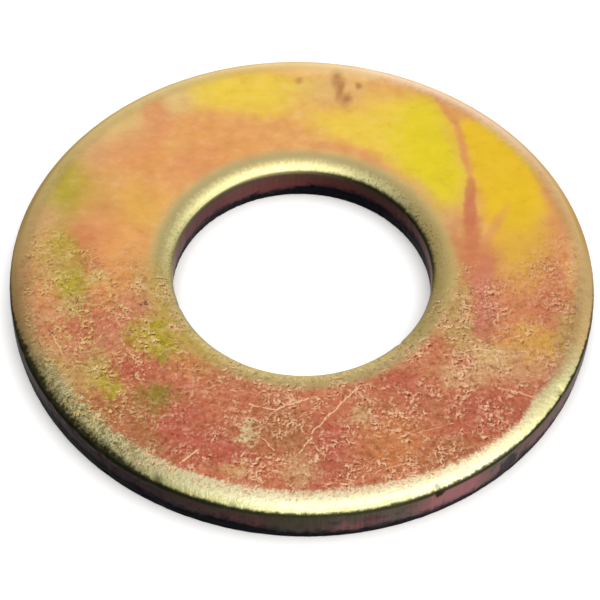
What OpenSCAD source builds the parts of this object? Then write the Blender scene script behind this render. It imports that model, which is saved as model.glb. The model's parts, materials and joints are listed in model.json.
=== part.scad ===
// Flat washer, blanked and pierced from steel strip in one stroke of a compound die.
// It is one piece of steel. The die draws both upper edges over into a rolled band,
// shears the upper part of each wall square, and tears the lower part back a little.
// Millimetres. The origin is the centre of the bore on the lower face, and +Z runs
// along the bore towards the face with the rolled edges.

/* [Ring] */
// Outside diameter
outer_d = 25.4; // [20:0.1:32]
// Diameter of the bore where a bolt touches it
bore_d = 11.3; // [8.4:0.1:13]
// Thickness, flat face to flat face
thickness = 1.9; // [1.6:0.05:2.6]

/* [Rolled upper edges] */
// Width of the rolled band, from the wall in to the flat of the upper face
roll_w = 1.15; // [0.8:0.05:1.4]
// Radius of the tight nose where the band turns down into the wall
nose_r = 0.21; // [0.1:0.01:0.3]
// Steepest slope of the wide sweep, where it runs into the nose, in degrees
roll_slope = 30; // [20:1:36]

/* [Torn lower walls] */
// Height of the torn stretch at the foot of each wall
tear_h = 0.5; // [0.2:0.05:0.7]
// How far the torn stretch draws back into the steel at its foot
tear_draft = 0.05; // [0.02:0.01:0.1]
// Break on the lower edges, left by tumbling the burr off
edge_break = 0.06; // [0.02:0.01:0.12]

/* [Hidden] */

outer_r = outer_d / 2;
bore_r = bore_d / 2;
// The wide sweep leaves the flat tangentially and meets the nose at roll_slope.
sweep_r = nose_r + (roll_w - nose_r) / sin(roll_slope);
sweep_centre = [roll_w, thickness - sweep_r];
// Height at which the straight wall ends and the nose begins
wall_top = sweep_centre[1] + (sweep_r - nose_r) * cos(roll_slope);
nose_centre = [nose_r, wall_top];
// Each half section reaches past the middle of the ring, so that the two overlap.
half_w = 0.6 * (outer_r - bore_r);

// The stretch of the wide sweep between the flat and the nose, down to the wall's top
module sweep_section() {
    towards_nose = [-sin(roll_slope), cos(roll_slope)];
    intersection() {
        translate(sweep_centre) circle(r = sweep_r, $fn = 360);
        polygon([
            nose_centre,
            [roll_w, wall_top],
            [roll_w, 2 * thickness],
            nose_centre + thickness * towards_nose
        ]);
    }
}

// Half of the ring's cross-section, with its wall on the Y axis and the steel towards +X
module half_section() {
    polygon([
        [tear_draft + edge_break, 0],
        [half_w, 0],
        [half_w, wall_top],
        [0, wall_top],
        [0, tear_h],
        [tear_draft, edge_break]
    ]);
    translate(nose_centre) circle(r = nose_r, $fn = 72);
    sweep_section();
    translate([roll_w, 0]) square([half_w - roll_w, thickness]);
}

module washer() {
    color([0.80, 0.55, 0.35])
        rotate_extrude($fn = 240) {
            translate([bore_r, 0]) half_section();
            translate([outer_r, 0]) mirror([1, 0]) half_section();
        }
}

washer();
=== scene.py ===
"""Looks of the stamped flat washer: a lathed ring with worn edges in yellow zinc plate."""

import json
import math
from functools import reduce
from types import SimpleNamespace

import bpy
import numpy as np
from mathutils import Matrix, Vector


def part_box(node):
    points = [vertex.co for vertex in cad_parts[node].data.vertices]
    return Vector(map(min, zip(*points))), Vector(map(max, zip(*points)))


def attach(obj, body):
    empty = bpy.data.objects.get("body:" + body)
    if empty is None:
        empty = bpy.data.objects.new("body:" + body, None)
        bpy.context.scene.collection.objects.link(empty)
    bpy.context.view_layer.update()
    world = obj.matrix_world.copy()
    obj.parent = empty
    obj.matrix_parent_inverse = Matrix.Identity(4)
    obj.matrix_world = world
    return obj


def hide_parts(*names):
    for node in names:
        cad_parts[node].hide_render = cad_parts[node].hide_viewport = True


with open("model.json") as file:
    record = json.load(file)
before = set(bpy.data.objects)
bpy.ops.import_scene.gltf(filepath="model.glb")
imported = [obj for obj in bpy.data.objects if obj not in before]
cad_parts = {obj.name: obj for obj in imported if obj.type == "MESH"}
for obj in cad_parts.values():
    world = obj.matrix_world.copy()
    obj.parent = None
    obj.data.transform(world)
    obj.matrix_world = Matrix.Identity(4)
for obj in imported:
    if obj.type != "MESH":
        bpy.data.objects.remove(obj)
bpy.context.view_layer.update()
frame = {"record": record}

# ---------------------------------------------------------------- dimensions, in mm
MM = 0.001
washer_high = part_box("washer")[1]     # highest corner, in m
OUTER_R = washer_high.x / MM
THICKNESS = washer_high.z / MM
BORE_R = next(m["dims"]["r_mm"] for m in frame["record"]["mounts"] if m["name"] == "bore")

ROLL_W = 1.15           # width of the rolled band along each upper edge
NOSE_R = 0.21           # tight nose where the band turns down into the wall
ROLL_SLOPE = math.radians(30)
TEAR_H = 0.5            # height of the torn foot of each wall
TEAR_DRAFT = 0.05       # how far the torn foot draws back
EDGE_BREAK = 0.06       # break on the lower edges

SWEEP_R = NOSE_R + (ROLL_W - NOSE_R) / math.sin(ROLL_SLOPE)
SWEEP_Z = THICKNESS - SWEEP_R
WALL_TOP = SWEEP_Z + (SWEEP_R - NOSE_R) * math.cos(ROLL_SLOPE)

AROUND = 640            # mesh columns round the ring


# ---------------------------------------------------------------- colours
def srgb(red, green, blue):
    """Linear colour of an sRGB triple given as 0 to 255."""
    def linear(value):
        c = value / 255
        return c / 12.92 if c <= 0.04045 else ((c + 0.055) / 1.055) ** 2.4
    return (linear(red), linear(green), linear(blue), 1.0)


# Film on the upper face
PEACH = srgb(226, 173, 106)
ORANGE = srgb(221, 157, 94)
SALMON = srgb(216, 144, 98)
CORAL = srgb(200, 120, 86)
BRICK = srgb(190, 112, 82)
RED = srgb(184, 92, 74)
ROSE = srgb(206, 126, 104)
PINK = srgb(202, 126, 102)
YELLOW = srgb(232, 202, 74)
LEMON = srgb(223, 205, 42)
GOLD = srgb(230, 190, 46)
AMBER = srgb(218, 168, 78)
OCHRE = srgb(206, 158, 92)
BRONZE = srgb(184, 140, 52)
RUST = srgb(202, 130, 74)
BROWN = srgb(176, 122, 80)
UMBER = srgb(166, 110, 68)
TAN = srgb(210, 164, 116)
DUN = srgb(206, 178, 124)
STRAW = srgb(218, 188, 124)
OLIVE = srgb(190, 164, 98)
MOSS = srgb(176, 162, 44)
FERN = srgb(134, 132, 44)

# Rings along the rim and the bore
BLUSH = srgb(252, 224, 196)
CREAM = srgb(239, 235, 196)
CORN = srgb(236, 212, 142)
HONEY = srgb(250, 214, 148)
LICHEN = srgb(214, 209, 158)
LIME = srgb(208, 206, 124)
MURK = srgb(128, 118, 72)
SHADE = srgb(112, 92, 54)
MUSTARD = srgb(194, 168, 84)
SAGE = srgb(182, 172, 122)
DRAB = srgb(186, 168, 112)
BUFF = srgb(242, 225, 156)
BUTTER = srgb(238, 230, 168)
STEEL = srgb(186, 180, 154)

# Grain, dirt and painted shade, and the tints that darken what is under them
SPECK = srgb(248, 203, 163)
FLAKE = srgb(236, 212, 140)
PALE = srgb(240, 216, 182)
# Dirt spots, and painted shade along the noses
DIRT_AND_SHADE = srgb(50, 54, 32)
GAP_AND_SHADOW = srgb(160, 118, 96)
HAZE = srgb(214, 196, 180)
WARM = srgb(230, 217, 184)

# Walls
WALL_GREY = srgb(160, 138, 124)
WALL_MAUVE = srgb(178, 122, 118)
WALL_MOSS = srgb(140, 138, 104)
WALL_BROWN = srgb(186, 108, 102)
WALL_SLATE = srgb(104, 90, 98)
WALL_PINK = srgb(226, 150, 150)
# Painted shadow at the torn foot of the walls, and painted shade on the left of the outer wall and the
# sides of the bore
WALL_SHADE = srgb(34, 40, 52)
GLINT = srgb(176, 166, 172)


# ---------------------------------------------------------------- mesh
def arc(centre, radius, start, end, count):
    """Points along an arc, angles in degrees."""
    angles = np.radians(np.linspace(start, end, count))
    return np.stack([centre[0] + radius * np.cos(angles), centre[1] + radius * np.sin(angles)], 1)


def straight(start, end, count):
    """Points along a straight run, both ends included."""
    return np.linspace(start, end, count)


def edge_section():
    """One edge from the lower face up to the flat, as (inset from the wall, height)."""
    foot = TEAR_DRAFT + EDGE_BREAK
    slope = 90 - math.degrees(ROLL_SLOPE)
    nose = arc((NOSE_R, WALL_TOP), NOSE_R, 180, 180 - slope, 12)
    sweep = arc((ROLL_W, SWEEP_Z), SWEEP_R, 180 - slope, 90, 18)
    return np.concatenate([
        arc((foot, EDGE_BREAK), EDGE_BREAK, 270, 180, 6)[:-1],
        straight((TEAR_DRAFT, EDGE_BREAK), (0, TEAR_H), 8)[:-1],
        straight((0, TEAR_H), (0, WALL_TOP), 12)[:-1],
        nose[:-1],
        sweep,
    ])


def ring_section():
    """Closed cross-section as (radius, height), anticlockwise from the lower inner edge."""
    edge = edge_section()
    outer = np.stack([OUTER_R - edge[:, 0], edge[:, 1]], 1)
    inner = np.stack([BORE_R + edge[:, 0], edge[:, 1]], 1)[::-1]
    below = straight(inner[-1], outer[0], 20)[1:-1]
    above = straight(outer[-1], inner[0], 26)[1:-1]
    return np.concatenate([below, outer, above, inner])


def smooth_noise(shape, lengths, seed):
    """Periodic random field of mean 0 and deviation 1, blurred over the given cell counts."""
    field = np.fft.fft2(np.random.default_rng(seed).standard_normal(shape))
    for axis, length in enumerate(lengths):
        wave = np.fft.fftfreq(shape[axis])
        gain = np.exp(-2 * (math.pi * wave * length) ** 2)
        field = field * (gain[:, None] if axis == 0 else gain[None, :])
    field = np.fft.ifft2(field).real
    return (field - field.mean()) / field.std()


def smoothstep(low, high, value):
    """Smooth rise from 0 at low to 1 at high; low may be the greater."""
    t = np.clip((value - low) / (high - low), 0, 1)
    return t * t * (3 - 2 * t)


# Nicks in the noses: azimuth in degrees, half width and depth in mm
RIM_NICKS = [(297, 0.16, 0.09), (203, 0.2, 0.04), (216, 0.15, 0.05), (224, 0.25, 0.05), (231, 0.15, 0.06),
             (243, 0.2, 0.05), (258, 0.14, 0.03), (279, 0.14, 0.03), (316, 0.2, 0.04), (331, 0.16, 0.04)]
BORE_NICKS = [(38, 0.16, 0.03), (203, 0.14, 0.03), (318, 0.12, 0.04)]


def nicked(theta, radius, height):
    """Depth of the nicks at each point, in mm."""
    depth = np.zeros_like(radius)
    for nicks, edge_r in ((RIM_NICKS, OUTER_R), (BORE_NICKS, BORE_R)):
        inset = np.abs(radius - edge_r)
        nose = smoothstep(0.45, 0.1, inset) * smoothstep(WALL_TOP - 0.25, WALL_TOP + 0.02, height)
        for azimuth, half_width, deep in nicks:
            turn = (theta - math.radians(azimuth) + math.pi) % (2 * math.pi) - math.pi
            depth += deep * np.exp(-(turn * edge_r / half_width) ** 2)[:, None] * nose
    return depth


def relief(theta, radius, height):
    """Depth that each point is worn by, in mm: rows go round, columns along the section."""
    shape = radius.shape
    inset = np.minimum(OUTER_R - radius, radius - BORE_R)
    wall = smoothstep(0.12, 0.02, inset) * smoothstep(WALL_TOP + 0.1, WALL_TOP, height)
    torn = wall * smoothstep(TEAR_H + 0.06, TEAR_H - 0.06, height + 0.05 * smooth_noise(shape, (5, 60), 3))
    band = smoothstep(ROLL_W, 0.4 * ROLL_W, inset) * smoothstep(WALL_TOP - 0.1, WALL_TOP + 0.1, height)
    flat = smoothstep(ROLL_W, ROLL_W + 0.5, inset) * (height > THICKNESS / 2)
    depth = 0.004 * np.abs(smooth_noise(shape, (1.5, 40), 5)) * wall
    depth += 0.012 * np.abs(smooth_noise(shape, (1.2, 1.2), 7)) * torn
    depth += 0.006 * (1 + smooth_noise(shape, (30, 8), 9)) * band
    depth += 0.003 * (1 + smooth_noise(shape, (25, 12), 11)) * flat
    depth += nicked(theta, radius, height)
    return np.maximum(depth, 0)


def make_washer():
    """The ring: its section swept round in columns, pushed in by the relief."""
    section = ring_section()
    before, after = np.roll(section, 1, 0), np.roll(section, -1, 0)
    along = after - before
    normal = np.stack([along[:, 1], -along[:, 0]], 1)
    normal /= np.linalg.norm(normal, axis=1)[:, None]
    theta = np.linspace(0, 2 * math.pi, AROUND, endpoint=False)
    radius = np.repeat(section[None, :, 0], AROUND, 0)
    height = np.repeat(section[None, :, 1], AROUND, 0)
    depth = relief(theta, radius, height)
    radius = radius - depth * normal[None, :, 0]
    height = np.clip(height - depth * normal[None, :, 1], 0, THICKNESS)
    points = np.stack([radius * np.cos(theta)[:, None], radius * np.sin(theta)[:, None], height], -1)
    count = len(section)
    row = np.arange(AROUND)[:, None]
    col = np.arange(count)[None, :]
    next_row, next_col = (row + 1) % AROUND, (col + 1) % count
    quads = np.stack([
        row * count + col, next_row * count + col,
        next_row * count + next_col, row * count + next_col,
    ], -1).reshape(-1, 4)
    mesh = bpy.data.meshes.new("flat_washer")
    mesh.from_pydata((points.reshape(-1, 3) * MM).tolist(), [], quads.tolist())
    mesh.shade_smooth()
    mesh.update()
    piece = bpy.data.objects.new("flat_washer", mesh)
    bpy.context.scene.collection.objects.link(piece)
    return piece


# ---------------------------------------------------------------- node helpers
class Graph:
    """Adds nodes to a tree; a value is a number, a tuple or an output socket."""

    def __init__(self, tree):
        self.tree = tree

    def node(self, kind, **settings):
        node = self.tree.nodes.new(kind)
        for name, value in settings.items():
            setattr(node, name, value)
        return node

    def feed(self, socket, value):
        if isinstance(value, bpy.types.NodeSocket):
            self.tree.links.new(value, socket)
        else:
            socket.default_value = value

    def fill(self, node, **values):
        """Feeds sockets by name; an underscore in a name stands for a space."""
        for name, value in values.items():
            self.feed(node.inputs[name.replace("_", " ")], value)

    def math(self, operation, *values):
        node = self.node("ShaderNodeMath", operation=operation)
        for socket, value in zip(node.inputs, values):
            self.feed(socket, value)
        return node.outputs[0]

    def chain(self, operation, values):
        return reduce(lambda total, value: self.math(operation, total, value), values)

    def add(self, *values):
        return self.chain("ADD", values)

    def subtract(self, first, second):
        return self.math("SUBTRACT", first, second)

    def multiply(self, *values):
        return self.chain("MULTIPLY", values)

    def highest(self, *values):
        return self.chain("MAXIMUM", values)

    def vector(self, operation, *values):
        node = self.node("ShaderNodeVectorMath", operation=operation)
        for socket, value in zip(node.inputs, values):
            self.feed(socket, value)
        is_number = operation in ("LENGTH", "DISTANCE", "DOT_PRODUCT")
        return node.outputs["Value" if is_number else "Vector"]

    def scale(self, vector, factor):
        node = self.node("ShaderNodeVectorMath", operation="SCALE")
        self.feed(node.inputs[0], vector)
        self.feed(node.inputs["Scale"], factor)
        return node.outputs["Vector"]

    def distance(self, first, second):
        return self.vector("DISTANCE", first, second)

    def step(self, value, low, high, out_low=0.0, out_high=1.0):
        """Smooth step of value from low to high; low may be the greater."""
        node = self.node("ShaderNodeMapRange", interpolation_type="SMOOTHSTEP")
        self.fill(node, Value=value, From_Min=low, From_Max=high, To_Min=out_low, To_Max=out_high)
        return node.outputs["Result"]

    def mix(self, factor, first, second, blend="MIX"):
        node = self.node("ShaderNodeMix", data_type="RGBA", blend_type=blend)
        self.feed(node.inputs["Factor"], factor)
        self.feed(node.inputs[6], first)
        self.feed(node.inputs[7], second)
        return node.outputs[2]

    def darken(self, factor, colour, shade):
        """Colour multiplied by shade, as far as factor says."""
        return self.mix(factor, colour, self.mix(1.0, colour, shade, "MULTIPLY"))

    def noise(self, vector, scale, detail=2.0, roughness=0.5, distortion=0.0):
        """Noise texture; returns its value and its colour."""
        node = self.node("ShaderNodeTexNoise")
        self.fill(node, Vector=vector, Scale=scale, Detail=detail, Roughness=roughness,
                  Distortion=distortion)
        return node.outputs[0], node.outputs[1]


def new_group(name, inputs, outputs):
    """Empty node group with the given (socket kind, name) lists; returns its graph and both ends."""
    tree = bpy.data.node_groups.new(name, "ShaderNodeTree")
    for kind, label in inputs:
        tree.interface.new_socket(label, in_out="INPUT", socket_type=f"NodeSocket{kind}")
    for kind, label in outputs:
        tree.interface.new_socket(label, in_out="OUTPUT", socket_type=f"NodeSocket{kind}")
    graph = Graph(tree)
    return graph, graph.node("NodeGroupInput").outputs, graph.node("NodeGroupOutput").inputs


# Far too little to show, but enough to make one mark wait for the mark before it. Cycles can
# hold few values at once, and runs out of room if it starts all the marks together.
WAIT = 1e-7


def stain_group():
    """One soft-edged elliptical stain laid over a colour."""
    g, given, result = new_group(
        "stain",
        [("Vector", "Place"), ("Color", "Under"), ("Vector", "Centre"), ("Vector", "Size"),
         ("Float", "Turn"), ("Float", "Soft"), ("Float", "Amount"), ("Color", "Stain")],
        [("Color", "Color"), ("Vector", "Place")])
    turn = g.node("ShaderNodeVectorRotate", rotation_type="Z_AXIS")
    g.feed(turn.inputs["Vector"], g.vector("SUBTRACT", given["Place"], given["Centre"]))
    g.feed(turn.inputs["Angle"], given["Turn"])
    reach = g.vector("LENGTH", g.vector("DIVIDE", turn.outputs[0], given["Size"]))
    cover = g.step(reach, g.add(1.0, given["Soft"]), g.subtract(1.0, given["Soft"]))
    factor = g.multiply(cover, given["Amount"])
    colour = g.mix(factor, given["Under"], given["Stain"])
    g.feed(result["Color"], colour)
    g.feed(result["Place"], g.vector("ADD", given["Place"], g.scale(colour, WAIT)))
    return g.tree


def dash_group():
    """A field of short curved dashes, each in its own random direction."""
    g, given, result = new_group(
        "dashes",
        [("Vector", "Place"), ("Float", "Density"), ("Float", "Length"), ("Float", "Width"),
         ("Float", "Chance"), ("Float", "Bend")],
        [("Float", "Mask")])
    cell = g.node("ShaderNodeTexVoronoi", voronoi_dimensions="2D")
    g.feed(cell.inputs["Vector"], given["Place"])
    g.feed(cell.inputs["Scale"], given["Density"])
    flat = g.vector("MULTIPLY", given["Place"], (1, 1, 0))
    spot = g.vector("MULTIPLY", cell.outputs["Position"], (1, 1, 0))
    luck = g.node("ShaderNodeSeparateColor")
    g.feed(luck.inputs[0], cell.outputs["Color"])
    turn = g.node("ShaderNodeVectorRotate", rotation_type="Z_AXIS")
    g.feed(turn.inputs["Vector"], g.vector("SUBTRACT", flat, spot))
    g.feed(turn.inputs["Angle"], g.multiply(luck.outputs[0], 2 * math.pi))
    local = g.node("ShaderNodeSeparateXYZ")
    g.feed(local.inputs[0], turn.outputs[0])
    along = g.math("DIVIDE", local.outputs[0], given["Length"])
    curve = g.multiply(along, along, given["Bend"])
    across = g.math("DIVIDE", g.add(local.outputs[1], curve), given["Width"])
    reach = g.math("SQRT", g.add(g.multiply(along, along), g.multiply(across, across)))
    chosen = g.math("LESS_THAN", luck.outputs[1], given["Chance"])
    g.feed(result["Mask"], g.multiply(g.step(reach, 1.1, 0.5), chosen))
    return g.tree


# Stains on the upper face: (x, y, half length, half width, turn in degrees, softness, amount, colour).
# X runs to the right and Y away from the near rim, in mm from the bore's axis.
FAR_LEFT = [
    (-3.7, 7.0, 2.2, 1.8, 20, 0.6, 0.8, ORANGE),
    (-5.2, 5.6, 1.6, 0.9, 45, 0.7, 0.5, SALMON),
    (-8.7, 8.4, 4.0, 1.7, 45, 0.5, 0.9, STRAW),
    (-5.8, 10.4, 2.2, 1.2, 25, 0.6, 0.9, STRAW),
    (-9.9, 5.9, 1.5, 1.0, 50, 0.6, 0.7, TAN),
    (-7.0, 8.5, 0.7, 1.3, 20, 0.7, 0.75, SALMON),
    (-8.0, 6.6, 1.9, 0.9, 45, 0.8, 0.6, SALMON),
    (-9.5, 3.2, 1.3, 2.0, 0, 0.7, 0.8, OCHRE),
    (-11.2, 3.6, 1.0, 3.0, 12, 0.6, 0.8, OLIVE),
    (-10.7, 4.4, 0.9, 1.9, 18, 0.9, 0.75, MOSS),
    (-7.3, 3.0, 1.1, 1.2, 0, 0.7, 0.7, AMBER),
    (-9.3, 1.6, 1.3, 1.3, 0, 0.6, 0.6, SALMON),
    (-9.6, 0.5, 0.8, 1.2, 0, 0.6, 0.8, CORAL),
    (-8.0, 0.7, 1.2, 1.0, 0, 0.7, 0.6, ORANGE),
    (-11.7, 1.0, 1.0, 1.9, 0, 0.5, 0.8, TAN),
    (-10.4, -0.6, 1.0, 1.6, 0, 0.7, 0.85, BRONZE),
    (-10.6, 0.2, 0.8, 1.3, 10, 0.8, 0.8, MOSS),
    (-2.4, 10.6, 2.7, 1.05, 3, 0.6, 0.85, YELLOW),
    (-4.1, 9.9, 1.2, 0.9, 0, 0.7, 0.85, YELLOW),
    (-1.9, 9.5, 1.2, 0.8, 0, 0.7, 0.75, YELLOW),
]
FAR_RIGHT = [
    (1.0, 10.6, 1.6, 0.9, 0, 0.8, 0.5, STRAW),
    (2.6, 8.2, 2.6, 1.2, -12, 0.6, 0.9, YELLOW),
    (4.4, 9.2, 1.7, 1.1, -25, 0.7, 0.85, YELLOW),
    (4.6, 6.9, 1.5, 1.0, -35, 0.7, 0.9, YELLOW),
    (5.3, 8.0, 1.3, 2.7, -12, 0.6, 0.85, LEMON),
    (6.0, 5.6, 1.3, 2.2, 5, 0.5, 0.9, LEMON),
    (8.2, 7.8, 1.3, 1.5, 40, 0.35, 0.95, GOLD),
    (9.0, 5.7, 1.6, 2.2, 10, 0.3, 0.95, GOLD),
    (9.4, 3.6, 1.5, 2.0, 0, 0.4, 0.9, GOLD),
    (9.7, 1.6, 1.2, 1.6, 0, 0.45, 0.85, GOLD),
    (9.4, 0.9, 1.2, 1.6, 0, 0.5, 0.7, AMBER),
    (6.4, 9.9, 1.1, 0.3, -35, 0.8, 0.5, SALMON),
    (7.6, 0.5, 0.9, 1.0, 0, 0.6, 0.8, CORAL),
    (6.3, 2.2, 0.7, 1.2, 0, 0.6, 0.8, TAN),
    (6.6, 1.4, 0.4, 1.0, 0, 0.7, 0.7, CORAL),
    (9.2, 8.6, 2.8, 0.4, -46, 0.8, 0.8, SALMON),
    (11.0, 5.2, 2.0, 0.4, -68, 0.8, 0.55, SALMON),
    (9.6, 9.0, 3.4, 0.7, -46, 0.8, 0.85, BLUSH),
    (11.9, 4.9, 0.6, 2.6, 22, 0.7, 0.7, HONEY),
    (11.2, 1.6, 0.7, 1.7, 0, 0.6, 0.85, SALMON),
    (12.4, 1.6, 0.4, 2.6, 0, 0.7, 0.6, HONEY),
    (10.6, 0.0, 0.7, 0.9, 0, 0.6, 0.8, CORAL),
    (11.9, 0.8, 0.4, 2.4, 0, 0.7, 0.3, HONEY),
    (10.5, 1.8, 0.6, 1.3, 0, 0.7, 0.7, AMBER),
    (1.2, 11.8, 3.4, 0.45, -6, 0.8, 0.7, HONEY),
    (5.1, 4.3, 1.0, 0.5, -50, 0.7, 0.5, TAN),
]
NEAR_RIGHT = [
    (8.6, -5.0, 3.0, 1.0, 5, 0.6, 0.75, TAN),
    (9.4, -1.6, 1.6, 1.5, 0, 0.6, 0.8, SALMON),
    (9.5, -0.2, 0.9, 0.9, 0, 0.8, 0.5, AMBER),
    (10.6, -1.8, 0.8, 0.8, 0, 0.6, 0.7, CORAL),
    (9.9, -3.8, 1.4, 0.8, -10, 0.6, 0.8, AMBER),
    (11.6, -3.2, 0.8, 1.4, -15, 0.6, 0.8, OLIVE),
    (12.3, -1.2, 0.5, 1.4, 0, 0.6, 0.7, STRAW),
    (6.5, -1.6, 0.7, 2.4, 0, 0.5, 0.85, OLIVE),
    (7.1, -3.4, 0.5, 0.8, 0, 0.6, 0.8, OLIVE),
    (7.9, -1.8, 0.55, 2.2, 0, 0.5, 0.9, PINK),
    (7.9, -4.4, 0.9, 0.6, 0, 0.6, 0.7, STRAW),
    (6.6, -5.6, 0.9, 0.6, 0, 0.6, 0.7, TAN),
    (5.4, -4.7, 0.7, 0.7, 0, 0.6, 0.7, CORAL),
    (6.9, -4.8, 0.5, 0.35, 0, 0.6, 0.8, RED),
    (3.9, -6.0, 1.4, 0.7, -20, 0.6, 0.7, RED),
    (8.0, -7.4, 2.0, 1.0, 35, 0.6, 0.7, RED),
    (5.6, -7.4, 1.2, 0.8, 0, 0.6, 0.5, BRICK),
    (4.0, -9.2, 1.2, 1.4, 10, 0.6, 0.7, RUST),
    (6.0, -9.6, 1.3, 0.7, 30, 0.6, 0.6, UMBER),
    (1.2, -9.6, 0.9, 1.9, -12, 0.6, 0.8, RED),
    (2.5, -7.9, 0.5, 0.4, 0, 0.6, 0.85, DUN),
]
NEAR_LEFT = [
    (-7.6, -1.3, 1.6, 1.3, 0, 0.6, 0.9, ORANGE),
    (-6.1, -2.3, 0.9, 2.1, 20, 0.6, 0.85, OLIVE),
    (-5.0, -4.6, 0.7, 1.8, 45, 0.7, 0.7, OLIVE),
    (-10.9, -3.0, 1.2, 3.0, -8, 0.6, 0.7, TAN),
    (-9.7, -6.4, 1.2, 2.6, -40, 0.6, 0.7, OLIVE),
    (-7.0, -2.6, 0.8, 0.8, 0, 0.7, 0.7, PINK),
    (-7.9, -3.8, 1.2, 0.9, 0, 0.7, 0.7, PINK),
    (-10.3, -1.2, 1.6, 0.5, 8, 0.6, 0.8, OLIVE),
    (-9.9, -1.5, 0.9, 0.8, 0, 0.6, 0.95, MOSS),
    (-9.6, -2.7, 0.5, 0.8, 0, 0.6, 0.8, OLIVE),
    (-8.9, -1.0, 0.5, 0.5, 0, 0.6, 0.8, STRAW),
    (-11.0, -2.2, 0.4, 1.0, 5, 0.6, 0.8, SALMON),
    (-9.35, -3.8, 0.75, 0.6, 0, 0.5, 0.95, CORAL),
    (-9.35, -3.9, 0.5, 0.4, 0, 0.5, 0.7, RED),
    (-10.7, -4.0, 0.5, 0.4, 0, 0.6, 0.8, CORAL),
    (-9.3, -5.0, 0.8, 0.6, -30, 0.6, 0.8, PINK),
    (-6.4, -3.9, 1.0, 0.8, 0, 0.5, 0.9, MOSS),
    (-5.6, -4.7, 0.9, 0.7, -30, 0.5, 0.95, MOSS),
    (-5.4, -5.0, 0.4, 0.3, 0, 0.6, 0.8, FERN),
    (-8.4, -5.9, 0.6, 0.9, 0, 0.5, 0.9, OLIVE),
    (-7.9, -6.8, 0.5, 0.8, 20, 0.5, 0.95, MOSS),
    (-7.0, -5.9, 0.9, 0.6, 0, 0.6, 0.8, RED),
    (-7.9, -8.0, 0.9, 0.7, -35, 0.6, 0.8, UMBER),
    (-5.9, -7.4, 1.0, 0.75, 0, 0.5, 0.85, FERN),
    (-6.5, -8.2, 0.5, 1.0, 0, 0.6, 0.9, UMBER),
    (-4.9, -8.6, 1.0, 1.3, -15, 0.6, 0.85, RED),
    (-3.3, -9.9, 1.6, 1.0, 0, 0.6, 0.85, RED),
    (-4.6, -5.6, 0.7, 0.4, -35, 0.7, 0.8, RUST),
    (-0.7, -8.7, 1.2, 1.2, 0, 0.7, 0.8, UMBER),
    (-2.1, -8.9, 0.35, 0.5, 0, 0.5, 0.9, LICHEN),
    (-2.4, -10.9, 0.6, 0.4, 0, 0.6, 0.6, STRAW),
    (0.2, -10.7, 0.5, 0.9, 0, 0.7, 0.6, DUN),
    (-6.0, -9.7, 1.0, 0.6, -35, 0.6, 0.9, UMBER),
]
# Narrow stains, laid with steadier edges than the others
STREAKS = [
    (6.3, 9.7, 1.5, 0.18, -62, 0.7, 0.75, SALMON),
    (7.15, 7.1, 2.0, 0.18, -81, 0.7, 0.75, SALMON),
    (7.38, 4.5, 0.9, 0.22, -90, 0.4, 0.7, CORAL),
    (7.35, 3.3, 1.1, 0.3, -92, 0.35, 0.8, CORAL),
    (7.4, 2.0, 1.2, 0.4, -92, 0.6, 0.8, CORAL),
    (8.4, 2.5, 1.3, 0.22, 65, 0.8, 0.6, SALMON),
    (1.3, 6.95, 1.4, 0.25, -8, 0.8, 0.5, SALMON),
    (3.2, 6.1, 1.2, 0.25, -35, 0.8, 0.5, SALMON),
    (1.35, 11.2, 0.26, 0.55, 0, 0.9, 0.7, UMBER),
    (1.5, 10.5, 0.16, 0.55, -15, 0.9, 0.7, UMBER),
    (1.75, 9.95, 0.22, 0.35, -20, 0.9, 0.8, UMBER),
    (2.35, 10.8, 0.14, 0.18, 0, 0.9, 0.8, UMBER),
    (-0.5, 11.1, 0.18, 0.2, 0, 0.9, 0.55, UMBER),
    (-10.5, -4.1, 0.1, 0.07, 0, 0.7, 0.9, DIRT_AND_SHADE),
    (-6.7, -2.4, 0.1, 0.1, 0, 0.7, 0.9, DIRT_AND_SHADE),
    (10.9, -4.0, 0.12, 0.2, 0, 0.8, 0.8, UMBER),
]


# Blots on the outer wall: centre and radius in mm, amount, colour
WALL_BLOTS = [
    ((6.4, -11.0, 0.9), 2.0, 0.9, WALL_PINK),
    # The next two blots take the colour of the painted shadow at the foot
    ((8.7, -9.3, 0.9), 0.55, 0.85, WALL_SHADE),
    ((9.4, -8.6, 0.5), 0.5, 0.8, WALL_SHADE),
    ((5.8, -11.3, 1.6), 0.3, 0.9, DIRT_AND_SHADE),
    ((2.0, -12.5, 0.4), 0.8, 0.7, WALL_PINK),
    ((0.0, -12.7, 1.0), 1.6, 0.6, WALL_MOSS),
]


def lay_stains(g, place, colour, stains, group):
    """Colour with the stains over it, and the place that the next stains are measured from."""
    for x, y, half_x, half_y, turn, soft, amount, stain in stains:
        node = g.node("ShaderNodeGroup", node_tree=group)
        g.fill(node, Place=place, Under=colour, Centre=(x, y, 0), Size=(half_x, half_y, 1),
               Turn=math.radians(-turn), Soft=soft, Amount=amount, Stain=stain)
        colour, place = node.outputs["Color"], node.outputs["Place"]
    return colour, place


def dashes(g, place, density, length, width, chance, bend, group):
    """Mask of random dashes: cells per mm, half length and half width in mm, share of cells, bend."""
    node = g.node("ShaderNodeGroup", node_tree=group)
    g.fill(node, Place=place, Density=density, Length=length, Width=width, Chance=chance, Bend=bend)
    return node.outputs["Mask"]


LONG_DASH_SHIFT = (7.1, 5.9, 0)     # keeps the long dashes clear of the short ones' pattern


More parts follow.
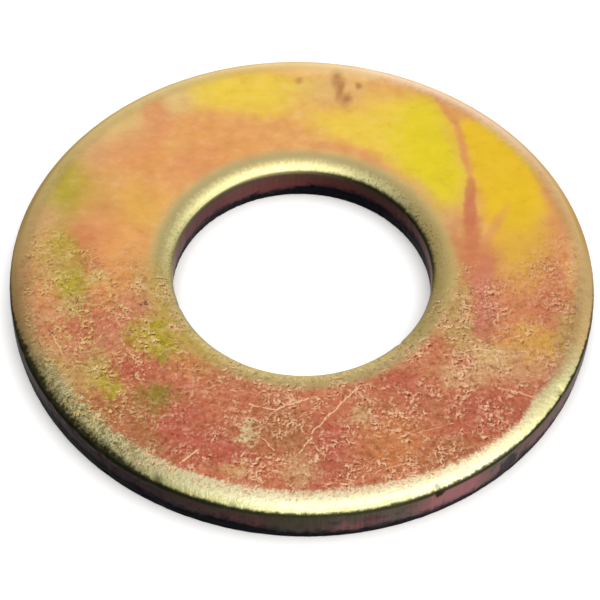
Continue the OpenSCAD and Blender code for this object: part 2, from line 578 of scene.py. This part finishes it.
def curl_marks(g, place, group):
    """Pale curls of three kinds: short dashes, long dashes and broken wandering lines."""
    short = dashes(g, place, 3.4, 0.11, 0.055, 0.42, 0.05, group)
    long = dashes(g, g.vector("ADD", place, LONG_DASH_SHIFT), 1.6, 0.22, 0.055, 0.6, 0.12, group)
    ridge = g.math("ABSOLUTE", g.subtract(g.noise(place, 2.4, 1.0)[0], 0.5))
    broken = g.step(g.noise(place, 4.4, 2.0)[0], 0.52, 0.59)
    line = g.multiply(g.step(ridge, 0.055, 0.02), broken)
    return g.highest(short, long, line)


def scratch_group():
    """One hairline scratch from one point to another, as a mask."""
    g, given, result = new_group(
        "scratch",
        [("Vector", "Place"), ("Vector", "Start"), ("Vector", "Along"), ("Float", "Length"),
         ("Float", "Width")],
        [("Float", "Mask")])
    reach = g.vector("SUBTRACT", given["Place"], given["Start"])
    travel = g.highest(g.vector("DOT_PRODUCT", reach, given["Along"]), 0.0)
    travel = g.math("MINIMUM", travel, given["Length"])
    gap = g.vector("LENGTH", g.vector("SUBTRACT", reach, g.scale(given["Along"], travel)))
    g.feed(result["Mask"], g.step(gap, given["Width"], g.multiply(given["Width"], 0.3)))
    return g.tree


# Hairlines in the upper face: start x, y, end x, y, half width in mm, depth from 0 to 1
HAIRLINES = [
    (2.5, -6.4, 1.3, -7.9, 0.055, 1.0),
    (1.3, -7.9, 0.6, -8.8, 0.05, 0.9),
    (0.6, -9.0, 0.1, -9.8, 0.06, 0.9),
    (0.1, -8.0, 0.9, -7.3, 0.04, 0.7),
    (-2.0, -7.5, -0.9, -7.7, 0.05, 0.9),
    (-0.9, -7.7, 0.4, -7.1, 0.06, 1.0),
    (-0.9, -7.7, -1.4, -8.4, 0.04, 0.7),
    (-4.7, -10.5, -4.0, -9.8, 0.06, 1.0),
    (-3.0, -6.8, -1.6, -6.9, 0.04, 0.7),
    (-1.6, -9.0, -0.9, -9.8, 0.05, 0.8),
    (-2.4, -11.3, -1.7, -10.6, 0.04, 0.6),
    (6.2, -4.6, 7.4, -4.2, 0.05, 0.8),
    (7.4, -4.2, 8.6, -4.3, 0.05, 0.8),
    (8.3, -6.2, 9.7, -6.6, 0.05, 0.8),
    (5.0, -8.6, 6.4, -8.1, 0.04, 0.6),
    (-7.6, -4.3, -7.0, -5.2, 0.05, 0.8),
    (-10.5, -4.2, -9.9, -5.3, 0.06, 0.8),
    (-9.0, -2.0, -8.2, -1.5, 0.04, 0.6),
    (-7.2, -1.2, -6.2, -2.0, 0.04, 0.6),
    (3.2, -10.6, 4.6, -10.1, 0.04, 0.6),
]


def hairlines(g, place, group):
    """Mask of all the hairlines."""
    total = 0.0
    for start_x, start_y, end_x, end_y, width, depth in HAIRLINES:
        along = Vector((end_x - start_x, end_y - start_y, 0))
        node = g.node("ShaderNodeGroup", node_tree=group)
        g.fill(node, Place=place, Start=(start_x, start_y, 0), Along=along.normalized(),
               Length=along.length, Width=width)
        total = g.highest(g.multiply(node.outputs["Mask"], depth), total)
        place = g.vector("ADD", place, g.scale((1, 1, 1), g.multiply(total, WAIT)))
    return total


# Places on the ring, in mm
KNOCKED_SPOT = (-9.8, -8.0, 0)      # middle of the battered stretch of the rim
CALM_SPOT = (-4.9, -7.9, 0)         # middle of the patch with little grain
PEPPERED_SPOT = (4.8, 3.4, 0)       # middle of the specks beside the bore
GLINT_Z = 1.34                      # height of the painted highlight line along the near left wall
SHADOW_SHIFT = (-0.05, 0.08, 0)     # from a curl to its painted shadow

MIDDLE = (0.5, 0.5, 0.5)            # mean of a noise's colour


def surface_places(g):
    """Places that the colours are worked out from, in mm from the bore's axis."""
    at = SimpleNamespace()
    coords = g.node("ShaderNodeTexCoord").outputs["Object"]
    at.place = g.scale(coords, 1 / MM)
    split = g.node("ShaderNodeSeparateXYZ")
    g.feed(split.inputs[0], at.place)
    at.x, at.y, at.z = split.outputs
    at.flat = g.vector("MULTIPLY", at.place, (1, 1, 0))
    at.radius = g.vector("LENGTH", at.flat)
    at.from_rim = g.subtract(OUTER_R, at.radius)
    at.from_bore = g.subtract(at.radius, BORE_R)
    return at


def add_wander(g, at):
    """Uneven edges: a broad wander everywhere and a fine one that grows over the scuffed half."""
    at.broad = g.vector("SUBTRACT", g.noise(at.flat, 0.5, 3.0)[1], MIDDLE)
    at.fine = g.vector("SUBTRACT", g.noise(at.flat, 2.6, 3.0, 0.65)[1], MIDDLE)
    at.crisp = g.vector("SUBTRACT", g.noise(at.flat, 7.0, 2.0, 0.6)[1], MIDDLE)
    reach_up = g.step(g.math("ABSOLUTE", at.x), 8.5, 11.5, 2.5, 0.2)
    sway = g.multiply(g.noise(at.flat, 0.45, 4.0, 0.6)[0], 5.0)
    at.scuffed = g.step(g.add(at.y, reach_up, sway), 5.9, 3.6)
    fine = g.scale(at.fine, g.add(0.7, g.multiply(at.scuffed, 0.9)))
    crisp = g.scale(at.crisp, g.multiply(at.scuffed, 1.7))
    wander = g.vector("ADD", g.vector("ADD", at.broad, fine), crisp)
    at.wandered = g.vector("ADD", at.flat, wander)
    at.steady = g.vector("ADD", at.flat, g.scale(wander, 0.3))


def stained_face(g, at):
    """Film on the upper face: orange on the far side, red on the near one, stains over both."""
    at.tint = g.noise(at.wandered, 0.6, 4.0, 0.6)[0]
    far = g.mix(g.step(at.tint, 0.35, 0.65), PEACH, ORANGE)
    near = g.mix(g.step(at.tint, 0.38, 0.62), BRICK, CORAL)
    face = g.mix(g.step(g.add(at.y, g.multiply(at.tint, 4.0)), 2.6, 0.6), far, near)
    group = stain_group()
    place = at.wandered
    for stains in (FAR_LEFT, FAR_RIGHT, NEAR_RIGHT, NEAR_LEFT):
        face, place = lay_stains(g, place, face, stains, group)
    face, place = lay_stains(g, at.steady, face, STREAKS, group)
    return face


def dappled(g, at, face):
    """Faint dapple all over, drawn out along X."""
    dapple = g.noise(g.vector("MULTIPLY", at.flat, (1.5, 2.2, 0)), 1.0, 5.0, 0.65)[0]
    face = g.darken(g.step(dapple, 0.5, 0.75, 0.0, 0.25), face, HAZE)
    far_right = g.multiply(g.step(at.x, 3.0, 6.0), g.step(at.y, -1.0, 2.0))
    light = g.mix(far_right, PALE, YELLOW)
    return g.mix(g.step(dapple, 0.5, 0.28, 0.0, 0.14), face, light)


def clouded(g, at, face):
    """Clouds in the scuffed half, from dull brown to pink, with small hollows and lumps."""
    at.cloud = g.noise(at.flat, 1.3, 5.0, 0.7)[0]
    dull = g.multiply(g.step(at.cloud, 0.46, 0.34), g.multiply(at.scuffed, 0.55))
    face = g.mix(dull, face, UMBER)
    pink = g.multiply(g.step(at.cloud, 0.54, 0.68), g.multiply(at.scuffed, 0.5))
    face = g.mix(pink, face, ROSE)
    bumps = g.noise(at.flat, 3.0, 3.0, 0.65)[0]
    hollow = g.multiply(g.step(bumps, 0.48, 0.34), g.multiply(at.scuffed, 0.32))
    face = g.darken(hollow, face, GAP_AND_SHADOW)
    lump = g.multiply(g.step(bumps, 0.54, 0.68), g.multiply(at.scuffed, 0.2))
    return g.mix(lump, face, SPECK)


def add_edge_noises(g, at):
    """Teeth, and strokes that follow the ring round, for the edges of the rings."""
    at.tooth = g.subtract(g.noise(at.flat, 6.0, 3.0, 0.65)[0], 0.5)
    turn = g.scale(g.vector("NORMALIZE", at.flat), 45.0)
    radial = g.node("ShaderNodeCombineXYZ")
    g.feed(radial.inputs[2], g.multiply(at.radius, 1.2))
    sweep = g.vector("ADD", turn, radial.outputs[0])
    at.streak = g.subtract(g.noise(sweep, 1.0, 3.0, 0.6)[0], 0.5)
    frayed = g.vector("ADD", g.scale(sweep, 1.7), g.scale(at.crisp, 2.5))
    at.strokes = g.noise(frayed, 1.0, 3.0, 0.65, 1.4)[0]
    at.ragged = g.add(g.multiply(at.tooth, 0.6), g.multiply(at.streak, 0.5))
    at.battered = g.step(g.distance(at.flat, KNOCKED_SPOT), 6.3, 2.2)


def rim_ringed(g, at, face):
    """The ring over the rim's band, where the film thins and the colour turns to straw."""
    x, y = at.x, at.y
    narrowed = g.step(x, 3.0, 9.0, 0.0, g.step(x, 9.0, 10.0, 0.36, 0.15))
    edge = g.add(at.from_rim, at.ragged, g.multiply(narrowed, g.step(y, 1.0, -5.0)))
    edge = g.add(edge, g.multiply(at.battered, g.multiply(at.tooth, 1.2)))
    tint = g.mix(g.step(x, -6.5, -0.5), LICHEN, g.mix(g.step(x, 7.0, 11.0), CREAM, LICHEN))
    fringe = g.highest(g.step(edge, 0.65, 0.95), g.step(edge, 0.38, 0.2))
    tint = g.mix(g.multiply(fringe, 0.5), tint, g.mix(g.step(edge, 0.4, 0.6), LIME, PALE))
    tint = g.mix(g.multiply(at.battered, g.step(at.strokes, 0.54, 0.44)), tint, MURK)
    bright = g.multiply(g.step(at.battered, 0.0, 0.3, 0.0, 0.85), g.step(at.strokes, 0.53, 0.62))
    tint = g.mix(bright, tint, CREAM)
    sides = g.step(g.add(y, g.step(x, 8.0, 10.0, 0.0, -1.5)), -6.5, -4.0)
    tint = g.mix(sides, tint, g.mix(g.step(x, -2.0, 2.0), STRAW, HONEY))
    far = g.step(g.add(y, g.step(x, 0.0, 8.0, 0.0, 3.0)), -1.0, 5.0)
    far_right = g.mix(g.step(y, 4.0, 9.0), HONEY, BLUSH)
    tint = g.mix(far, tint, g.mix(g.step(x, -1.0, 5.0), CORN, far_right))
    at.speckle = g.noise(at.flat, 8.0, 3.0, 0.7)[0]
    speckled = g.multiply(g.step(at.speckle, 0.52, 0.36), g.step(y, -2.0, -6.0, 0.0, 0.45))
    tint = g.mix(speckled, tint, MUSTARD)
    full_from = g.step(y, -7.5, -3.0, 0.9, g.step(y, -3.0, 4.0, 0.0, 0.25))
    ring = g.multiply(g.step(edge, 1.12, full_from), g.step(y, -6.0, -1.0, 1.0, 0.8))
    face = g.mix(ring, face, tint)
    brink = g.multiply(g.step(at.from_rim, 0.36, 0.14), g.step(y, 0.0, 3.0))
    face = g.darken(brink, face, WARM)
    left = g.multiply(g.step(x, -8.5, -11.5), g.step(y, 1.0, -5.0, 0.05, 1.0))
    left = g.multiply(left, g.step(g.add(at.from_rim, at.ragged), 0.8, 0.1))
    return g.mix(g.multiply(left, 0.65), face, SHADE)


def bore_ringed(g, at, face):
    """The olive ring beside the bore, and the paler band on its rolled edge."""
    x, y = at.x, at.y
    edge = g.add(at.from_bore, g.add(g.multiply(at.tooth, 0.5), g.multiply(at.streak, 0.2)))
    width = g.step(y, -4.0, 4.0, 1.18, 1.3)
    ring = g.step(edge, g.add(width, 0.1), g.subtract(width, 0.6), 0.0, 0.9)
    right = g.multiply(g.step(x, 2.0, 6.0), g.step(y, -5.0, -1.0))
    left = g.multiply(g.step(x, -1.0, -5.0), g.step(y, 1.0, -2.0))
    olive = g.mix(left, g.mix(right, SAGE, DRAB), MUSTARD)
    face = g.mix(ring, face, olive)
    tint = g.mix(g.step(y, -3.0, 3.0), BUFF, BUTTER)
    tint = g.mix(g.step(x, 3.0, 6.0), tint, DRAB)
    stroked = g.multiply(at.scuffed, g.step(at.strokes, 0.56, 0.44, 0.0, 0.6))
    tint = g.mix(stroked, tint, MUSTARD)
    face = g.mix(g.step(edge, 0.72, 0.2), face, tint)
    speckled = g.multiply(g.step(at.speckle, 0.5, 0.38, 0.0, 0.6), g.step(edge, 1.2, 0.9))
    face = g.mix(g.multiply(speckled, g.step(y, 5.0, 1.0)), face, MUSTARD)
    nose = g.multiply(g.step(at.from_bore, 0.16, 0.1, 0.0, 0.7), g.step(y, 0.0, -2.0))
    return g.mix(nose, face, STEEL)


def grained(g, at, face):
    """Pale curls and flecks in clusters with darker gaps and a painted shadow beside each curl, dense over
    the scuffed half.
    """
    cluster = g.step(g.noise(at.flat, 0.8, 4.0, 0.7)[0], 0.42, 0.6, 0.08, 1.0)
    smooth_band = g.step(at.battered, 0.0, 0.6, 0.3, 0.0)
    worn = g.multiply(at.scuffed, g.step(g.subtract(at.from_rim, smooth_band), 0.1, 0.5))
    worn = g.multiply(worn, g.step(at.from_bore, 0.05, 0.35))
    thinned = g.multiply(g.step(at.x, 8.0, 10.0, 1.0, 0.6), g.step(at.x, -8.5, -10.5, 1.0, 0.75))
    worn = g.multiply(worn, thinned)
    calm = g.step(g.distance(at.wandered, CALM_SPOT), 1.4, 3.2, 0.45, 1.0)
    cluster = g.multiply(worn, g.multiply(cluster, calm))

    fleck = g.step(g.noise(at.flat, 6.0, 2.0, 0.6, 0.5)[0], 0.55, 0.62)
    fleck = g.highest(fleck, g.step(g.noise(at.flat, 10.5, 1.0)[0], 0.57, 0.66, 0.0, 0.8))
    at.speck = g.multiply(fleck, cluster)
    bent = g.vector("ADD", at.flat, g.scale(at.fine, 0.3))
    dash = dash_group()
    curl = g.multiply(curl_marks(g, bent, dash), cluster)
    shadow = g.multiply(curl_marks(g, g.vector("ADD", bent, SHADOW_SHIFT), dash), cluster)
    shadow = g.multiply(shadow, g.subtract(1.0, curl))
    at.mark = g.highest(g.multiply(curl, 0.9), hairlines(g, bent, scratch_group()))
    gap = g.step(g.noise(at.flat, 4.2, 4.0, 0.7)[0], 0.52, 0.32)
    pit = g.multiply(gap, g.multiply(worn, g.step(at.y, 2.0, -2.0, 0.3, 1.0)))

    pale = g.mix(g.step(at.x, -9.0, -5.0), FLAKE, SPECK)
    # Painted shadow beside each curl, and darker pits
    face = g.darken(g.highest(g.multiply(pit, 0.5), g.multiply(shadow, 0.9)), face, GAP_AND_SHADOW)
    face = g.mix(g.multiply(at.speck, 0.62), face, pale)
    return g.mix(g.multiply(at.mark, 0.97), face, pale)


def soiled_and_shaded(g, at, face):
    """Painted shade along both tight noses where they turn down into the walls, mixed with dirt, widest
    where the rim took the knocks.
    """
    # Painted shade: a dark jagged line where the rim's nose turns down into the wall, with dirt where the
    # rim is battered
    reach = g.add(g.step(at.y, -7.0, -10.5, 0.13, 0.19), g.multiply(at.battered, 0.25))
    jagged = g.multiply(at.ragged, g.add(0.25, g.multiply(at.battered, 0.55)))
    rim_shade_and_soil = g.step(g.add(at.from_rim, jagged), reach, g.multiply(reach, 0.4))
    rim_shade_and_soil = g.multiply(rim_shade_and_soil, g.step(at.y, 2.0, -4.0))
    face = g.mix(g.multiply(rim_shade_and_soil, 0.92), face, DIRT_AND_SHADE)
    # Painted shade along the nose on the far side of the bore
    bore_shade_and_soil = g.step(g.add(at.from_bore, g.multiply(at.ragged, 0.35)), 0.24, 0.06)
    bore_shade_and_soil = g.multiply(bore_shade_and_soil, g.step(at.x, -2.0, 3.0, 0.55, 1.3))
    bore_shade_and_soil = g.multiply(bore_shade_and_soil, g.step(at.y, -2.0, 1.0))
    pepper = g.step(g.noise(at.flat, 9.0, 2.0, 0.6)[0], 0.46, 0.36)
    pepper = g.multiply(pepper, g.step(at.from_bore, 0.9, 0.1))
    pepper = g.multiply(pepper, g.step(g.distance(at.flat, PEPPERED_SPOT), 4.4, 2.0))
    return g.mix(g.multiply(g.highest(bore_shade_and_soil, pepper), 0.7), face, DIRT_AND_SHADE)


def wall_colour(g, at):
    """Walls: a painted highlight line below the nose, painted shade on the left, and a torn foot painted
    near black as shadow.
    """
    x, y, z = at.x, at.y, at.z
    at.drag = g.noise(g.vector("MULTIPLY", at.place, (3.5, 3.5, 0.5)), 1.0, 3.0, 0.6)[0]
    mottle = g.noise(g.vector("MULTIPLY", at.place, (0.7, 0.7, 2.2)), 1.0, 4.0, 0.65)[0]
    blotch = g.noise(at.place, 2.2, 4.0, 0.7)[0]
    wall = g.mix(g.step(mottle, 0.42, 0.6), WALL_GREY, WALL_MAUVE)
    wall = g.mix(g.step(blotch, 0.48, 0.62, 0.0, 0.6), wall, WALL_SLATE)
    wall = g.mix(g.step(at.drag, 0.5, 0.7, 0.0, 0.25), wall, WALL_SLATE)
    on_bore = g.step(at.from_bore, 0.3, 0.2)
    wall = g.mix(g.multiply(on_bore, 0.85), wall, WALL_BROWN)
    upper = g.step(g.add(z, g.multiply(blotch, 0.4)), WALL_TOP - 0.15, WALL_TOP + 0.1, 0.0, 0.5)
    wall = g.mix(upper, wall, WALL_MOSS)
    drifted = g.vector("ADD", at.place, g.vector("ADD", at.broad, g.scale(at.fine, 0.8)))
    for centre, size, amount, colour in WALL_BLOTS:
        blot = g.step(g.distance(drifted, centre), size, 0.5 * size, 0.0, amount)
        wall = g.mix(blot, wall, colour)
    # Painted shade: the left of the outer wall and the sides of the bore's wall darkened
    shaded = g.multiply(g.step(x, -2.0, -8.0, 0.0, 0.6), g.step(y, 4.0, -2.0))
    bore_side_shade = g.multiply(on_bore, g.step(g.math("ABSOLUTE", x), 0.5, 4.5, 0.0, 0.4))
    wall = g.mix(g.highest(shaded, bore_side_shade), wall, WALL_SHADE)

    # Painted highlight: a pale line along the top of the near left wall
    off_line = g.math("ABSOLUTE", g.subtract(g.add(z, g.multiply(at.streak, 0.15)), GLINT_Z))
    near_left = g.multiply(g.step(x, -4.0, -7.0), g.step(y, 0.0, -5.0, 0.0, 0.55))
    glint = g.multiply(g.step(off_line, 0.09, 0.02), near_left)
    wall = g.mix(g.multiply(glint, g.step(at.drag, 0.35, 0.6)), wall, GLINT)

    # Painted shadow: the torn foot of each wall darkened to near black where it meets the floor
    torn_shadow_top = g.add(g.multiply(mottle, 0.7), g.multiply(blotch, 0.7))
    torn_shadow_top = g.add(torn_shadow_top, g.step(x, 1.0, -3.0, -0.1, 0.15))
    torn_shadow_top = g.add(torn_shadow_top, g.multiply(on_bore, g.step(x, -2.0, 1.5, -0.2, 0.35)))
    at.torn = g.step(g.subtract(z, torn_shadow_top), 0.15, -0.35)
    return g.mix(at.torn, wall, WALL_SHADE)


def lower_face(g, at):
    """Lower face: the same plate, dulled by what it lay on."""
    under = g.mix(g.step(at.tint, 0.35, 0.65), STRAW, BROWN)
    return g.mix(g.step(at.cloud, 0.45, 0.6), under, MOSS)


def roughness(g, at):
    """Satin plate, duller on the grain and on the torn foot of the walls."""
    rough = g.step(g.noise(at.flat, 1.2, 4.0)[0], 0.3, 0.7, 0.3, 0.38)
    rough = g.add(rough, g.multiply(g.highest(at.speck, at.mark), 0.12))
    return g.add(rough, g.multiply(at.side, g.step(at.torn, 0.0, 1.0, 0.08, 0.22)))


def bumped(g, at):
    """Normal of the plate's fine relief: peel, grain, marks and drag lines."""
    grain = g.add(at.tooth, 0.5)
    height = g.multiply(g.noise(at.place, 4.0, 3.0, 0.6)[0], 0.35)
    height = g.add(height, g.multiply(grain, g.step(at.scuffed, 0.0, 1.0, 0.15, 0.9)))
    height = g.add(height, g.multiply(at.mark, 0.5))
    height = g.add(height, g.multiply(at.drag, g.multiply(at.side, 1.2)))
    bump = g.node("ShaderNodeBump")
    bump.inputs["Strength"].default_value = 0.8
    bump.inputs["Distance"].default_value = 0.02 * MM
    g.feed(bump.inputs["Height"], height)
    return bump.outputs[0]


def plated_steel():
    """Yellow chromate over zinc, with the colours of a film of uneven thickness."""
    material = bpy.data.materials.new("plated_steel")
    material.use_nodes = True
    tree = material.node_tree
    tree.nodes.clear()
    g = Graph(tree)
    at = surface_places(g)
    add_wander(g, at)
    face = clouded(g, at, dappled(g, at, stained_face(g, at)))
    add_edge_noises(g, at)
    face = bore_ringed(g, at, rim_ringed(g, at, face))
    face = soiled_and_shaded(g, at, grained(g, at, face))
    wall = wall_colour(g, at)
    inset = g.math("MINIMUM", at.from_rim, at.from_bore)
    at.side = g.multiply(g.step(inset, 0.16, 0.07), g.step(at.z, WALL_TOP + 0.12, WALL_TOP - 0.02))
    colour = g.mix(at.side, face, wall)
    colour = g.mix(g.step(at.z, 0.05, 0.02), colour, lower_face(g, at))
    shader = g.node("ShaderNodeBsdfPrincipled")
    shader.inputs["Metallic"].default_value = 1.0
    g.feed(shader.inputs["Base Color"], colour)
    g.feed(shader.inputs["Roughness"], roughness(g, at))
    g.feed(shader.inputs["Normal"], bumped(g, at))
    output = g.node("ShaderNodeOutputMaterial")
    tree.links.new(shader.outputs[0], output.inputs["Surface"])
    return material


# ---------------------------------------------------------------- scene
FLOOR_REACH = 6.0       # from the middle of the floor to its edges, in m
FLOOR_WHITE = (0.9, 0.9, 0.9, 1)
FLOOR_ROUGHNESS = 0.9


def make_floor():
    """Plain pale floor that the metal doesn't mirror."""
    mesh = bpy.data.meshes.new("floor")
    corners = [(x, y, 0) for x, y in ((-1, -1), (1, -1), (1, 1), (-1, 1))]
    corners = [tuple(FLOOR_REACH * value for value in corner) for corner in corners]
    mesh.from_pydata(corners, [], [(0, 1, 2, 3)])
    floor = bpy.data.objects.new("floor", mesh)
    bpy.context.scene.collection.objects.link(floor)
    material = bpy.data.materials.new("floor")
    material.use_nodes = True
    shader = material.node_tree.nodes["Principled BSDF"]
    shader.inputs["Base Color"].default_value = FLOOR_WHITE
    shader.inputs["Roughness"].default_value = FLOOR_ROUGHNESS
    shader.inputs["Specular IOR Level"].default_value = 0.0
    mesh.materials.append(material)
    floor.visible_glossy = False


def direction(azimuth, elevation):
    """Unit vector; azimuth is counted from +X towards +Y, both in degrees."""
    turn, rise = math.radians(azimuth), math.radians(elevation)
    return Vector((math.cos(rise) * math.cos(turn), math.cos(rise) * math.sin(turn), math.sin(rise)))


# Soft lights of the studio: azimuth, elevation and width in degrees, strength, colour
GLOWS = [
    (289, 74, 15, 2.5, (1.0, 0.99, 0.96)),    # key, over the near right edge
    (92, 53, 16, 0.98, (1.0, 0.99, 0.97)),    # seen by the camera in the upper face
    (353, 41, 16, 2.3, (1.0, 0.98, 0.95)),    # side
    (84, -12, 32, 1.15, (1.0, 0.97, 0.92)),   # light thrown up by the table behind
    (340, -50, 18, 0.4, (0.95, 0.97, 1.0)),   # and by the table on the right
    (150, 40, 18, 0.35, (1.0, 0.98, 0.95)),   # left wall of the room
    (290, 10, 24, 0.5, (1.0, 0.98, 0.95)),    # near wall, seen in the upper face from behind
]
STUDIO = (0.085, 0.08, 0.085, 1)        # the rest of the room


def make_world():
    """Studio lit by soft glows, each placed by its direction alone."""
    world = bpy.data.worlds.new("studio")
    world.use_nodes = True
    tree = world.node_tree
    tree.nodes.clear()
    g = Graph(tree)
    look = g.node("ShaderNodeTexCoord").outputs["Generated"]
    total = STUDIO
    for azimuth, elevation, width, strength, tint in GLOWS:
        facing = g.vector("DOT_PRODUCT", look, direction(azimuth, elevation))
        away = g.subtract(facing, 1.0)
        glow = g.math("EXPONENT", g.math("DIVIDE", away, math.radians(width) ** 2))
        light = g.mix(glow, (0, 0, 0, 1), tuple(strength * c for c in tint) + (1,))
        total = g.mix(1.0, total, light, "ADD")
    background = g.node("ShaderNodeBackground")
    g.feed(background.inputs["Color"], total)
    output = g.node("ShaderNodeOutputWorld")
    tree.links.new(background.outputs[0], output.inputs["Surface"])
    bpy.context.scene.world = world


FLOOR_LIGHT_PLACE = (-0.05, -0.1, 0.5)      # in m
FLOOR_LIGHT_WIDTH = 0.8                     # in m
FLOOR_LIGHT_STRENGTH = 1.6                  # power in W over pi times the light's area


def make_floor_light():
    """Wide soft light that whitens the floor and leaves the metal's reflections alone."""
    data = bpy.data.lights.new("floor_light", "AREA")
    data.shape = "DISK"
    data.size = FLOOR_LIGHT_WIDTH
    data.energy = FLOOR_LIGHT_STRENGTH * math.pi * math.pi * (FLOOR_LIGHT_WIDTH / 2) ** 2
    light = bpy.data.objects.new("floor_light", data)
    light.location = FLOOR_LIGHT_PLACE
    light.visible_camera = False
    light.visible_glossy = False
    bpy.context.scene.collection.objects.link(light)


CAMERA_ELEVATION = math.radians(51.8)
CAMERA_ROLL = math.radians(1.94)
CAMERA_DISTANCE = 7.43          # in outer radii
CAMERA_LENS = 128.3             # in mm
CAMERA_SENSOR = 36              # width in mm
AIM_RIGHT, AIM_UP = 0.006, 0.027  # where the base's centre sits in the view, in outer radii


def make_camera():
    """Camera at the near side, rolled a little, aimed close to the middle of the ring's base."""
    radius = washer_high.x
    forward = Vector((0, math.cos(CAMERA_ELEVATION), -math.sin(CAMERA_ELEVATION)))
    level_up = Vector((0, math.sin(CAMERA_ELEVATION), math.cos(CAMERA_ELEVATION)))
    right = Vector((1, 0, 0)) * math.cos(CAMERA_ROLL) + level_up * math.sin(CAMERA_ROLL)
    up = level_up * math.cos(CAMERA_ROLL) - Vector((1, 0, 0)) * math.sin(CAMERA_ROLL)
    place = -(right * AIM_RIGHT + up * AIM_UP + forward * CAMERA_DISTANCE) * radius
    data = bpy.data.cameras.new("camera")
    data.lens = CAMERA_LENS
    data.sensor_width = CAMERA_SENSOR
    data.clip_start, data.clip_end = 0.01, 10
    camera = bpy.data.objects.new("camera", data)
    camera.matrix_world = Matrix.Translation(place) @ Matrix((right, up, -forward)).transposed().to_4x4()
    bpy.context.scene.collection.objects.link(camera)
    bpy.context.scene.camera = camera


washer = make_washer()
washer.data.materials.append(plated_steel())
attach(washer, "root")
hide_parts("washer")

make_floor()
make_world()
make_floor_light()
make_camera()
bpy.context.scene.view_settings.view_transform = "Standard"
